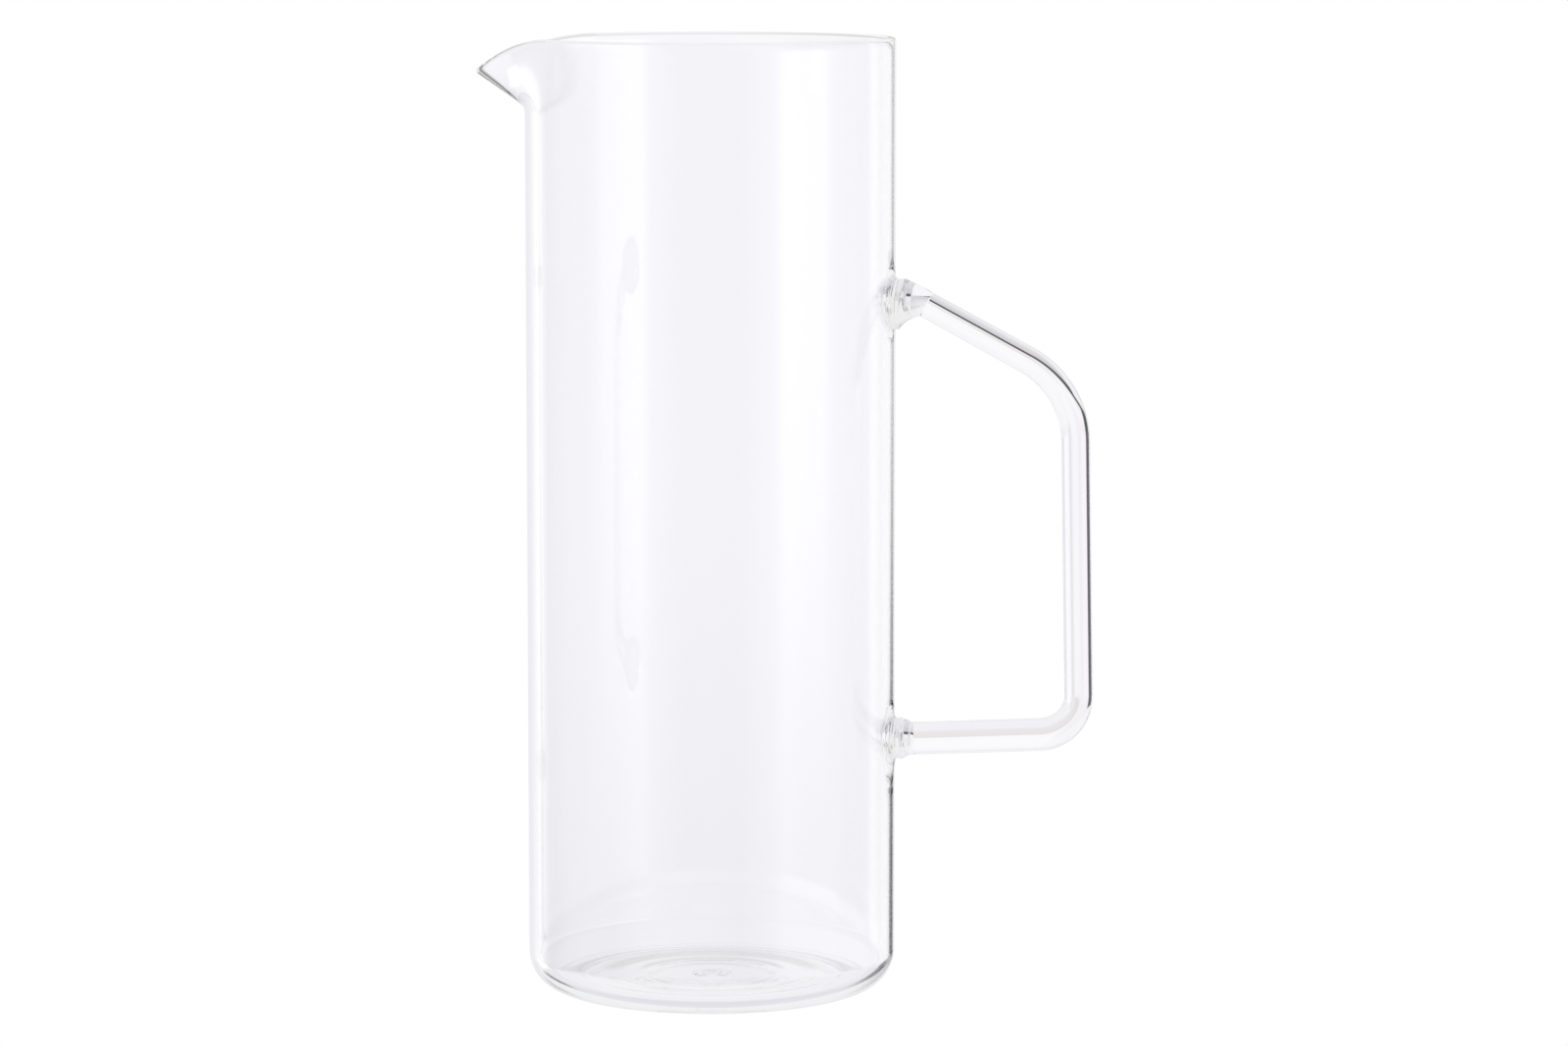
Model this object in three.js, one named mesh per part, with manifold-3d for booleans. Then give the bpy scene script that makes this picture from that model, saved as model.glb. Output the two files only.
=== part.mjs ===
// Glass pitcher: a straight tube closed by a flat base, with a fire-polished rim, a drawn pouring
// spout and a bent solid rod handle that is welded on at two places.
// Millimetres, +Z up. The origin is the centre of the base's underside, the handle lies along +X
// and the spout points along -X.
import * as THREE from 'three';
import { mergeVertices } from 'three/addons/utils/BufferGeometryUtils.js';
import Module from 'manifold-3d';

// Body tube
const tubeDiameter = 95;
const wallThickness = 1.8;
const pitcherHeight = 246;

// Base: flat floor, rounded heel and the melt mark in the middle
const heelRadius = 9.4;
const floorThickness = 2.8;
const pipDiameter = 11;
const pipHeight = 0.9;
const pipCrestDiameter = 7;
const pipDimple = 0.5;

// Fire-polished rim
const rimHeight = 3;

// Spout, drawn from the wall and rim. Its reach and the drop of its lip fall off from the beak to
// its sides, faster with a higher taper, and a higher curve keeps its underside closer to the wall.
const spoutWidth = 60;
const spoutReach = 13.7;
const spoutReachTaper = 1.8;
const spoutTipDrop = 8;
const spoutDropTaper = 2.4;
const spoutDepth = 22.2;
const spoutCurve = 1.5;

// Handle rod, measured on its centre line. Reaches are counted from the outside of the tube.
const upperArmDiameter = 6.8;
const gripDiameter = 7.3;
const lowerArmDiameter = 8.4;
const gripTopReach = 46.8;
const gripTopHeight = 157.8;
const gripBottomReach = 48.35;
const gripBottomHeight = 68.4;
const upperBendRadius = 24;
const lowerBendRadius = 10.5;

// Welds between the rod and the tube: each spreads into a foot on the tube, with a collar above it
const upperWeldHeight = 178.2;
const upperWeldLength = 8.5;
const upperWeldFoot = 15;
const upperWeldCollar = 13.2;
const lowerWeldHeight = 66;
const lowerWeldLength = 5.2;
const lowerWeldFoot = 16;
const lowerWeldCollar = 10.8;
const weldCollarReach = 2.2;

// Clearance left at each seam that isn't a plain flat face
const seamGap = 0.3;

// Fineness of the faceted surfaces
const turnSegments = 96;
const pipSegments = 32;
const heelSteps = 8;
const pipSteps = 4;
const rimSteps = 6;
const rodSides = 20;
const bendSteps = 10;
const spoutColumns = 24;
const spoutRows = 12;
const weldSteps = 10;

// Sizes that follow from those above
const outerRadius = tubeDiameter / 2;
const innerRadius = outerRadius - wallThickness;
const heelTop = heelRadius;
const rimBase = pitcherHeight - rimHeight;
const spoutBase = pitcherHeight - spoutDepth;

const wasm = await Module();
wasm.setup();

// A copy of a geometry with shared vertices and without collapsed triangles
function mergedCopy(geometry) {
  const bare = geometry.clone();
  bare.deleteAttribute('normal');
  bare.deleteAttribute('uv');
  const merged = mergeVertices(bare);
  const corners = merged.index.array;
  const kept = [];
  for (let i = 0; i < corners.length; i += 3) {
    const [a, b, c] = corners.slice(i, i + 3);
    if (a !== b && b !== c && c !== a) {
      kept.push(a, b, c);
    }
  }
  merged.setIndex(kept);
  return merged;
}

// What is left of one closed geometry after another is cut away from it
function cutAway(geometry, tool) {
  const [solid, cutter] = [geometry, tool].map((shape) => {
    const merged = mergedCopy(shape);
    return new wasm.Manifold(new wasm.Mesh({
      numProp: 3,
      vertProperties: new Float32Array(merged.attributes.position.array),
      triVerts: new Uint32Array(merged.index.array),
    }));
  });
  const result = solid.subtract(cutter).getMesh();
  const left = new THREE.BufferGeometry();
  left.setAttribute('position', new THREE.BufferAttribute(result.vertProperties, 3));
  left.setIndex(new THREE.BufferAttribute(result.triVerts, 1));
  return left;
}

// A solid of revolution about Z from a profile of radius and height, drawn anticlockwise
function turned(profile, segments = turnSegments) {
  const points = profile.map(([radius, height]) => new THREE.Vector2(radius, height));
  return mergedCopy(new THREE.LatheGeometry(points, segments).rotateX(Math.PI / 2));
}

// Profile points on an arc about a centre, both ends included, with angles in quarter turns
function arc([radius, height], size, from, to, steps) {
  return Array.from({ length: steps + 1 }, (unused, i) => {
    const angle = (from + (to - from) * i / steps) * Math.PI / 2;
    return [radius + size * Math.cos(angle), height + size * Math.sin(angle)];
  });
}

// A ring of points about a centre, facing a direction in the plane of the handle
function ring(centre, direction, radius) {
  const upright = new THREE.Vector3(-direction.z, 0, direction.x);
  return Array.from({ length: rodSides }, (unused, i) => {
    const angle = 2 * Math.PI * i / rodSides;
    const point = centre.clone().addScaledVector(upright, radius * Math.sin(angle));
    point.y += radius * Math.cos(angle);
    return point;
  });
}

// A closed solid through a row of matching rings, each end closed by a zigzag across its ring
function loft(rings) {
  const count = rings[0].length;
  const last = (rings.length - 1) * count;
  const triangles = [];
  for (let start = 0; start < last; start += count) {
    for (let i = 0; i < count; i++) {
      const [a, b] = [start + i, start + (i + 1) % count];
      triangles.push(a, b, a + count, b, b + count, a + count);
    }
  }
  for (let i = 0; i < count / 2 - 1; i++) {
    const [a, b, c, d] = [i, i + 1, count - 2 - i, count - 1 - i];
    triangles.push(a, d, b, b, d, c);
    triangles.push(last + a, last + b, last + d, last + b, last + c, last + d);
  }
  const geometry = new THREE.BufferGeometry().setFromPoints(rings.flat());
  geometry.setIndex(triangles);
  return geometry;
}

// Straight tube, without its closed end, its rim and the part that is drawn out into the spout
function vesselWall() {
  const tube = turned([
    [outerRadius, heelTop],
    [outerRadius, rimBase],
    [innerRadius, rimBase],
    [innerRadius, heelTop],
    [outerRadius, heelTop],
  ]);
  return cutAway(tube, spoutNotch());
}

// Block that clears the wall and the rim for the spout, with the seam's clearance around it
function spoutNotch() {
  const bottom = spoutBase - seamGap;
  const height = pitcherHeight + seamGap - bottom;
  const notch = new THREE.BoxGeometry(outerRadius, spoutWidth, height);
  return notch.translate(-outerRadius, 0, bottom + height / 2);
}

// Closed end: flat underside, round heel, and a floor that meets the wall in an inner round
function base() {
  const innerHeelRadius = heelRadius - floorThickness;
  return turned([
    [0, 0],
    ...arc([outerRadius - heelRadius, heelTop], heelRadius, -1, 0, heelSteps),
    ...arc([innerRadius - innerHeelRadius, heelTop], innerHeelRadius, 0, -1, heelSteps),
    [0, floorThickness],
  ]);
}

// Melt mark where the tube's end was sealed: a low round ring with a dimple inside it
function basePip() {
  const radius = pipDiameter / 2;
  const crest = pipCrestDiameter / 2;
  const shares = Array.from({ length: pipSteps + 1 }, (unused, i) => i / pipSteps);
  return turned([
    [0, floorThickness],
    ...shares.map((share) => [
      radius + (crest - radius) * share,
      floorThickness + pipHeight * (1 - (1 - share) ** 2),
    ]),
    ...shares.slice(1).map((share) => [
      crest * (1 - share),
      floorThickness + pipHeight - pipDimple * share ** 2,
    ]),
  ], pipSegments);
}

// Rim with a half-round top, open where the spout is drawn out
function rimBead() {
  const roundness = wallThickness / 2;
  const bead = turned([
    [innerRadius, rimBase],
    [outerRadius, rimBase],
    ...arc([outerRadius - roundness, pitcherHeight - roundness], roundness, 0, 2, rimSteps),
    [innerRadius, rimBase],
  ]);
  return cutAway(bead, spoutNotch());
}

// Share that is left of a spout size at a place across it, from none at its sides to all at the beak
function fallOff(side, taper) {
  return (1 - Math.abs(side)) ** taper;
}

// One upright section of the spout: up its outside, over the round lip and down its inside
function spoutSection(side) {
  const across = side * (spoutWidth / 2 - seamGap);
  const wallX = Math.sqrt(outerRadius ** 2 - across ** 2);
  const thickness = wallX - Math.sqrt(innerRadius ** 2 - across ** 2);
  const lipHeight = pitcherHeight - thickness / 2 - spoutTipDrop * fallOff(side, spoutDropTaper);
  const reach = spoutReach * fallOff(side, spoutReachTaper);
  const outside = Array.from({ length: spoutRows + 1 }, (unused, i) => {
    const rise = i / spoutRows;
    return new THREE.Vector2(wallX + reach * rise ** spoutCurve, spoutBase + (lipHeight - spoutBase) * rise);
  });
  const inside = outside.map((point, i) => {
    const below = outside[Math.max(i - 1, 0)];
    const along = i ? point.clone().sub(below).normalize() : new THREE.Vector2(0, 1);
    return new THREE.Vector2(point.x - thickness * along.y, point.y + thickness * along.x);
  });
  const [outerLip, innerLip] = [outside.at(-1), inside.at(-1)];
  const crest = outerLip.clone().add(innerLip).multiplyScalar(0.5);
  const lift = new THREE.Vector2(outerLip.y - innerLip.y, outerLip.x - innerLip.x).multiplyScalar(0.5);
  const lip = [crest.clone().lerp(outerLip, 0.5).add(lift), crest.clone().lerp(innerLip, 0.5).add(lift)];
  return [...outside, ...lip, ...inside.reverse()].map(({ x, y }) => new THREE.Vector3(-x, across, y));
}

function pouringSpout() {
  const sections = Array.from({ length: spoutColumns + 1 }, (unused, i) => {
    return spoutSection(2 * i / spoutColumns - 1);
  });
  return loft(sections);
}

// Where the rod's centre line starts, turns and ends
const upperSeat = new THREE.Vector3(outerRadius + upperWeldLength, 0, upperWeldHeight);
const gripTop = new THREE.Vector3(outerRadius + gripTopReach, 0, gripTopHeight);
const gripBottom = new THREE.Vector3(outerRadius + gripBottomReach, 0, gripBottomHeight);
const lowerSeat = new THREE.Vector3(outerRadius + lowerWeldLength, 0, lowerWeldHeight);
const upperArm = gripTop.clone().sub(upperSeat).normalize();
const grip = gripBottom.clone().sub(gripTop).normalize();
const lowerArm = lowerSeat.clone().sub(gripBottom).normalize();

// Rings of the rod around one bend, from one straight stretch to the next
function bendRings(corner, before, after, bendRadius, diameterBefore, diameterAfter) {
  const turn = before.angleTo(after);
  const tangent = bendRadius * Math.tan(turn / 2);
  const start = corner.clone().addScaledVector(before, -tangent);
  const inward = after.clone().addScaledVector(before, -after.dot(before)).normalize();
  const centre = start.clone().addScaledVector(inward, bendRadius);
  return Array.from({ length: bendSteps + 1 }, (unused, i) => {
    const share = i / bendSteps;
    const angle = turn * share;
    const point = centre.clone().addScaledVector(inward, -bendRadius * Math.cos(angle));
    point.addScaledVector(before, bendRadius * Math.sin(angle));
    const direction = before.clone().multiplyScalar(Math.cos(angle));
    direction.addScaledVector(inward, Math.sin(angle));
    const radius = (diameterBefore + (diameterAfter - diameterBefore) * share) / 2;
    return ring(point, direction, radius);
  });
}

function handleRod() {
  return loft([
    ring(upperSeat, upperArm, upperArmDiameter / 2),
    ...bendRings(gripTop, upperArm, grip, upperBendRadius, upperArmDiameter, gripDiameter),
    ...bendRings(gripBottom, grip, lowerArm, lowerBendRadius, gripDiameter, lowerArmDiameter),
    ring(lowerSeat, lowerArm, lowerArmDiameter / 2),
  ]);
}

// Radius of a weld at a distance from the tube's outside
function weldRadius(distance, length, foot, collar, rodDiameter) {
  if (distance < weldCollarReach) {
    const share = 1 - Math.max(distance, 0) / weldCollarReach;
    return (collar + (foot - collar) * share ** 2) / 2;
  }
  const share = (length - distance) / (length - weldCollarReach);
  return (rodDiameter + (collar - rodDiameter) * share ** 2) / 2;
}

// Bead of glass that spreads from the rod's end onto the tube, cut to the tube's outside
function weld(seat, outward, foot, collar, rodDiameter) {
  const length = seat.x - outerRadius;
  const end = seat.clone().addScaledVector(outward, -seamGap);
  const start = new THREE.Vector3(innerRadius, 0, seat.z);
  const level = new THREE.Vector3(1, 0, 0);
  const rings = Array.from({ length: weldSteps + 1 }, (unused, i) => {
    const share = i / weldSteps;
    const distance = share * (length + wallThickness) - wallThickness;
    const radius = weldRadius(distance, length, foot, collar, rodDiameter);
    const direction = level.clone().lerp(outward, share).normalize();
    return ring(start.clone().lerp(end, share), direction, radius);
  });
  const tube = new THREE.CylinderGeometry(
    outerRadius + seamGap, outerRadius + seamGap, pitcherHeight, turnSegments);
  tube.rotateX(Math.PI / 2).translate(0, 0, pitcherHeight / 2);
  return cutAway(loft(rings), tube);
}

// Clear glass, a little greener where it is thick
const clearGlass = { color: 0xf1f2f4, roughness: 0.03, metalness: 0 };
const thickGlass = { color: 0xe6e8dd, roughness: 0.04, metalness: 0 };

const pitcher = new THREE.Group();

function addPiece(name, geometry, finish) {
  const piece = new THREE.Mesh(geometry, new THREE.MeshStandardMaterial(finish));
  piece.name = name;
  pitcher.add(piece);
}

addPiece('vessel_wall', vesselWall(), clearGlass);
addPiece('base', base(), clearGlass);
addPiece('base_pip', basePip(), thickGlass);
addPiece('rim_bead', rimBead(), clearGlass);
addPiece('pouring_spout', pouringSpout(), thickGlass);
addPiece('handle_rod', handleRod(), clearGlass);
addPiece('upper_handle_weld',
  weld(upperSeat, upperArm, upperWeldFoot, upperWeldCollar, upperArmDiameter), thickGlass);
addPiece('lower_handle_weld',
  weld(lowerSeat, lowerArm.clone().negate(), lowerWeldFoot, lowerWeldCollar, lowerArmDiameter), thickGlass);

export default pitcher;
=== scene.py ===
"""Clear glass pitcher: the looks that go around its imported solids.

Lengths are in metres and +Z is up. The handle lies along +X and the spout points along -X.
Every piece is a closed body of glass. Where two pieces are melted together, the faces that touch
carry a fully clear joint material, so light runs on from one piece into the next.
"""
from dataclasses import dataclass
from math import asin, atan2, cos, exp, pi, radians, sin, sqrt, tan

import bmesh
import bpy
from bpy.props import FloatProperty, FloatVectorProperty, PointerProperty
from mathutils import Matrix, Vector


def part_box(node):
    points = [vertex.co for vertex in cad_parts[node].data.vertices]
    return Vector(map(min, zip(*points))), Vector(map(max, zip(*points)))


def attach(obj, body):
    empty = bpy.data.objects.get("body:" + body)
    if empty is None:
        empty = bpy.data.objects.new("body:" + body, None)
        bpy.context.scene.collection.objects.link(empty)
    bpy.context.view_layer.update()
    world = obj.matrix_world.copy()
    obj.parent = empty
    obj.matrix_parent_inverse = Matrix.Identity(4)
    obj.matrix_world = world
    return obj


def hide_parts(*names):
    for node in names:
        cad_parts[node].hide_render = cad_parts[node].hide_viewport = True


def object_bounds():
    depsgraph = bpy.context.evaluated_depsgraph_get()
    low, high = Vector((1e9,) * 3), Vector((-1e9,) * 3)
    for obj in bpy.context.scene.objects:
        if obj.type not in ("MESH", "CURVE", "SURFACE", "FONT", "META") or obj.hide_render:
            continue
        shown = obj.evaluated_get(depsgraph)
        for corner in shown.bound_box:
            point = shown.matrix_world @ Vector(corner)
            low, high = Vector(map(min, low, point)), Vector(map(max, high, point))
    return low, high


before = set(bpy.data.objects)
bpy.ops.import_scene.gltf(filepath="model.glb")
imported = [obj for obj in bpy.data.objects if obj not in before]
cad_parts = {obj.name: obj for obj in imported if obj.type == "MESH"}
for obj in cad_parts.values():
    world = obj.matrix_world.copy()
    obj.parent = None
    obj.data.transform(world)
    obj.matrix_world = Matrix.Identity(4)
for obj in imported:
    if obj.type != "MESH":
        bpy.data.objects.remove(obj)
cad_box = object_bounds()
wall_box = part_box("vessel_wall")
base_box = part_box("base")
pip_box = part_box("base_pip")
rim_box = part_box("rim_bead")
spout_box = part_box("pouring_spout")

bl_info = {
    "name": "Glass Pitcher",
    "version": (1, 0, 0),
    "blender": (4, 5, 0),
    "location": "View3D > Sidebar > Pitcher",
    "description": "Builds a clear glass pitcher with a drawn spout and a welded rod handle",
    "category": "Add Mesh",
}

# Material slots of every piece
GLASS = 0
JOINT = 1

# Faces of a grown mesh with more corners are its ends, and points with a higher mark lie on a joint
SIDE_CORNERS = 4
JOINT_MARK = 0.9

# Refractive index of the glass, and bounces after which light that is caught in it leaves it
GLASS_INDEX = 1.47
TRAPPED_BOUNCES = 14.5

# Points that are closer than this are one point, in grown meshes and in finished ones
GROWN_GAP = 1e-6
FINISHED_GAP = 1e-7

# Fineness of the surfaces. The wall's rows lie below, in, between and above the windows round the
# welds and beside the spout, and the rings in the foot of a weld are shares of its size.
WALL_COLUMNS = 160
SPOUT_COLUMNS = 80
SPOUT_ROWS = 40
LIP_STEPS = 12
HEEL_STEPS = 24
FLOOR_STEPS = 160
PIP_STEPS = 48
WINDOW_COLUMNS = 20
PATCH_STEPS = 5
WALL_ROWS = (8, WINDOW_COLUMNS, 16, WINDOW_COLUMNS, 8, 4)
WELD_POINTS = 4 * WINDOW_COLUMNS
FOOT_RINGS = (0.7, 0.4)
FOOT_STEPS = 12
NECK_STEPS = 8
CONE_STEPS = 16
BEND_STEPS = 32
TURN_STEPS = 241

# Rings that the closing of the base left on its floor: radius, share of the ripple's height, spread
FLOOR_RINGS = (
    (0.0365, 0.5, 0.0014),
    (0.033, 1.0, 0.0013),
    (0.0285, -0.6, 0.0020),
    (0.018, 0.9, 0.0016),
    (0.0145, -0.4, 0.0018),
    (0.024, 0.3, 0.0015),
)

# Straight run between the heel's round and the wall
HEEL_LANDING = 0.00003

# Melt mark: where its ring is highest, as a share of its radius, and the share of its height that
# the dimple takes
PIP_CREST = 0.65
PIP_DIMPLE = 0.85

# Bulge that the heat of a weld left inside the wall: height, radius of its middle, width of its slope
BULGE_HEIGHT = 0.0013
BULGE_RADIUS = 0.0045
BULGE_SLOPE = 0.0032

# Welds: lift at which they are clear of the tube's round, how much more hollow the cone is below,
# and the share of thick glass at the wall and how much of it is lost on the way to the rod
CLEAR_LIFT = 0.0025
HOLLOW_BELOW = 0.9
WELD_TINT = 0.16
WELD_TINT_LOSS = 0.13

# Spout over its width, from 0 at the beak to 1 at each side: half the rounded beak, and the taper of
# the lip's drop and of the reach
BEAK_HALF = 0.08
DROP_TAPER = 2.2
REACH_TAPER = 2.0

# Least distance of the spout's inside from its middle, as a share of the outside's
LEAST_SPREAD = 0.25

# Spout over its height, from 0 at the wall to 1 at the lip: place and softness of the bend,
# crowding of the rows towards the wall, and where the thick glass starts and how soon it is full
FLARE_BEND = 0.27
FLARE_SOFTNESS = 0.1
ROW_CROWDING = 1.5
TINT_START = 0.2
TINT_RISE = 0.35

# Thick glass in the spout: half its width outside and inside the beak, the softness of both edges,
# and the least of it in the lip
OUTSIDE_TINT = 0.05
OUTSIDE_TINT_EDGE = 0.05
INSIDE_TINT = 0.01
INSIDE_TINT_EDGE = 0.03
LIP_TINT = 0.15


def length(name, description, default):
    """A size that a user can change, in metres."""
    return FloatProperty(
        name=name, description=description, default=default, min=0.0, precision=4, unit="LENGTH")


def colour(name, description, default):
    """A colour that a user can change."""
    return FloatVectorProperty(
        name=name, description=description, default=default, min=0.0, max=1.0, subtype="COLOR")


class PitcherSizes(bpy.types.PropertyGroup):
    """Sizes of the pitcher. Reaches are counted from the outside of the tube."""

    tube_diameter: length("Tube Diameter", "Outside diameter of the body", 2 * wall_box[1].y)
    wall_thickness: length("Wall Thickness", "Thickness of the tube", 0.0018)
    height: length("Height", "Height of the rim above the table", cad_box[1].z)
    heel_radius: length("Heel Radius", "Outside round between wall and base", base_box[1].z)
    floor_thickness: length("Floor Thickness", "Thickness of the flat base", 0.0028)
    floor_ripple: length("Floor Ripple", "Height of the turning rings on the floor", 0.00008)
    pip_diameter: length("Pip Diameter", "Width of the melt mark", 2 * pip_box[1].y)
    pip_height: length("Pip Height", "Height of the melt mark", 0.00035)
    rim_height: length("Rim Height", "Height of the fire-polished rim", rim_box[1].z - rim_box[0].z)
    spout_width: length("Spout Width", "Width of the spout at the wall", 0.06)
    spout_reach: length("Spout Reach", "How far the beak stands out", 0.0134)
    spout_drop: length("Spout Drop", "How far the beak lies below the rim", 0.0088)
    spout_depth: length("Spout Depth", "Height of the drawn part", cad_box[1].z - spout_box[0].z)
    upper_arm_diameter: length("Upper Arm Diameter", "Rod diameter in the upper arm", 0.0068)
    grip_diameter: length("Grip Diameter", "Rod diameter in the grip", 0.0073)
    lower_arm_diameter: length("Lower Arm Diameter", "Rod diameter in the lower arm", 0.0084)
    grip_top_reach: length("Grip Top Reach", "Reach of the upper corner", 0.0468)
    grip_top_height: length("Grip Top Height", "Height of the upper corner", 0.1578)
    grip_bottom_reach: length("Grip Bottom Reach", "Reach of the lower corner", 0.04835)
    grip_bottom_height: length("Grip Bottom Height", "Height of the lower corner", 0.0684)
    upper_bend: length("Upper Bend", "Radius of the upper bend", 0.024)
    lower_bend: length("Lower Bend", "Radius of the lower bend", 0.0105)
    upper_weld_height: length("Upper Weld Height", "Height of the upper weld", 0.1782)
    upper_weld_length: length("Upper Weld Length", "Reach of the upper weld", 0.0085)
    lower_weld_height: length("Lower Weld Height", "Height of the lower weld", 0.066)
    lower_weld_length: length("Lower Weld Length", "Reach of the lower weld", 0.0052)


class PitcherColours(bpy.types.PropertyGroup):
    """Colours of the glass and of the studio."""

    clear: colour("Clear Glass", "Tint of the tube and the rod", (0.99, 0.99, 0.995))
    thick: colour("Thick Glass", "Tint of the thickest glass", (0.08, 0.09, 0.035))
    paper: colour("Paper", "Floor and background", (1.0, 1.0, 1.0))


class PieceMesh:
    """Points and faces of one piece. A face is bare glass or part of a melted joint."""

    def __init__(self):
        self.points = []
        self.thick = []
        self.faces = []
        self.kinds = []

    def add_points(self, points, thick=0.0):
        """Adds points and returns their numbers."""
        start = len(self.points)
        self.points.extend(points)
        self.thick.extend([thick] * (len(self.points) - start))
        return list(range(start, len(self.points)))

    def add_face(self, corners, kind=GLASS):
        """Adds a face between points that are there."""
        self.faces.append(corners)
        self.kinds.append(kind)

    def add_strip(self, first, second, kind=GLASS, closed=True):
        """Joins two rows of points of the same number."""
        for i in range(len(first) if closed else len(first) - 1):
            j = (i + 1) % len(first)
            self.add_face((first[i], first[j], second[j], second[i]), kind)

    def add_fan(self, ring, middle, kind=GLASS):
        """Joins a ring of points to one point in its middle."""
        for i, point in enumerate(ring):
            self.add_face((point, ring[(i + 1) % len(ring)], middle), kind)

    def to_mesh(self, name, finish):
        """The mesh, with its glass and the melted joint as materials."""
        mesh = bpy.data.meshes.new(name)
        mesh.from_pydata(self.points, [], self.faces)
        mesh.polygons.foreach_set("material_index", self.kinds)
        thick = mesh.attributes.new("thick", "FLOAT", "POINT")
        thick.data.foreach_set("value", self.thick)
        mesh.materials.append(finish)
        mesh.materials.append(melted_joint())
        return mesh


def finish_piece(mesh, name, node):
    """Closes and smooths a mesh and puts it in the place of its solid."""
    shape = bmesh.new()
    shape.from_mesh(mesh)
    bmesh.ops.remove_doubles(shape, verts=shape.verts, dist=FINISHED_GAP)
    bmesh.ops.recalc_face_normals(shape, faces=shape.faces)
    for face in shape.faces:
        face.smooth = True
    for edge in shape.edges:
        edge.smooth = len({face.material_index for face in edge.link_faces}) == 1
    open_edges = sum(not edge.is_manifold for edge in shape.edges)
    shape.to_mesh(mesh)
    shape.free()
    if open_edges:
        raise RuntimeError(f"{name} has {open_edges} open edges")
    piece = bpy.data.objects.new(name, mesh)
    bpy.context.scene.collection.objects.link(piece)
    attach(piece, "root")
    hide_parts(node)


def smooth_step(share):
    """Rises smoothly from 0 to 1 and stays there on both sides."""
    share = min(max(share, 0.0), 1.0)
    return share * share * (3 - 2 * share)


# Nodes

def feed(tree, node, inputs):
    """Sets a node's inputs, each to a plain value or to another node's output."""
    for name, value in inputs.items():
        if isinstance(value, bpy.types.NodeSocket):
            tree.links.new(value, node.inputs[name])
        else:
            node.inputs[name].default_value = value


def add_node(tree, kind, inputs=None):
    """Adds a node and sets its inputs."""
    node = tree.nodes.new(kind)
    feed(tree, node, inputs or {})
    return node


def math_node(tree, operation, *values):
    """The result of a maths node."""
    node = tree.nodes.new("ShaderNodeMath")
    node.operation = operation
    feed(tree, node, dict(enumerate(values)))
    return node.outputs["Value"]


def mix_node(tree, share, first, second, blend="MIX"):
    """A colour mixed of two others."""
    node = tree.nodes.new("ShaderNodeMix")
    node.data_type = "RGBA"
    node.blend_type = blend
    feed(tree, node, {"Factor": share, "A": first, "B": second})
    return node.outputs["Result"]


def rise_node(tree, value, low, high, bottom=0.0, top=1.0):
    """Goes smoothly from the bottom at the low value to the top at the high one."""
    node = tree.nodes.new("ShaderNodeMapRange")
    node.interpolation_type = "SMOOTHSTEP"
    feed(tree, node, {"Value": value, "From Min": low, "From Max": high, "To Min": bottom, "To Max": top})
    return node.outputs["Result"]


def band_node(tree, value, low, high, edge):
    """1 between two values and 0 outside them, with soft edges."""
    rise = rise_node(tree, value, low - edge / 2, low + edge / 2)
    fall = rise_node(tree, value, high - edge / 2, high + edge / 2)
    return math_node(tree, "SUBTRACT", rise, fall)


def more_than(tree, value, limit):
    """A yes where the value is over the limit."""
    node = tree.nodes.new("FunctionNodeCompare")
    node.data_type = "INT" if isinstance(limit, int) else "FLOAT"
    node.operation = "GREATER_THAN"
    feed(tree, node, {"A": value, "B": limit})
    return node.outputs["Result"]


def named_attribute(tree, name, kind):
    """An attribute of the geometry."""
    node = tree.nodes.new("GeometryNodeInputNamedAttribute")
    node.data_type = kind
    feed(tree, node, {"Name": name})
    return node.outputs["Attribute"]


def stored_attribute(tree, geometry, name, kind, value):
    """The geometry with a value kept on each of its points."""
    node = tree.nodes.new("GeometryNodeStoreNamedAttribute")
    node.data_type = kind
    feed(tree, node, {"Geometry": geometry, "Name": name, "Value": value})
    return node.outputs["Geometry"]


def new_group(name, kind, inputs, outputs):
    """A node group with named inputs and outputs. Returns it with its input and output nodes."""
    group = bpy.data.node_groups.new(name, kind)
    for direction, sockets in (("INPUT", inputs), ("OUTPUT", outputs)):
        for label, socket_kind, *default in sockets:
            socket = group.interface.new_socket(
                label, in_out=direction, socket_type="NodeSocket" + socket_kind)
            if default:
                socket.default_value = default[0]
    return group, group.nodes.new("NodeGroupInput"), group.nodes.new("NodeGroupOutput")


# Shader node groups and materials

def drawn_waves():
    """Slow unevenness of drawn glass: long waves along the tube, as a height for bump."""
    name = "Drawn Glass Waves"
    group = bpy.data.node_groups.get(name)
    if group:
        return group
    group, given, result = new_group(
        name, "ShaderNodeTree",
        (("Waves per Metre", "Float", 60.0), ("Stretch", "Float", 0.15)),
        (("Height", "Float"),))
    place = add_node(group, "ShaderNodeTexCoord")
    stretch = add_node(group, "ShaderNodeCombineXYZ", {"X": 1.0, "Y": 1.0, "Z": given.outputs["Stretch"]})
    drawn = add_node(group, "ShaderNodeVectorMath", {
        0: place.outputs["Object"],
        1: stretch.outputs["Vector"],
    })
    drawn.operation = "MULTIPLY"
    noise = add_node(group, "ShaderNodeTexNoise", {
        "Vector": drawn.outputs["Vector"],
        "Scale": given.outputs["Waves per Metre"],
        "Detail": 1.0,
    })
    feed(group, result, {"Height": noise.outputs["Fac"]})
    return group


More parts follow.
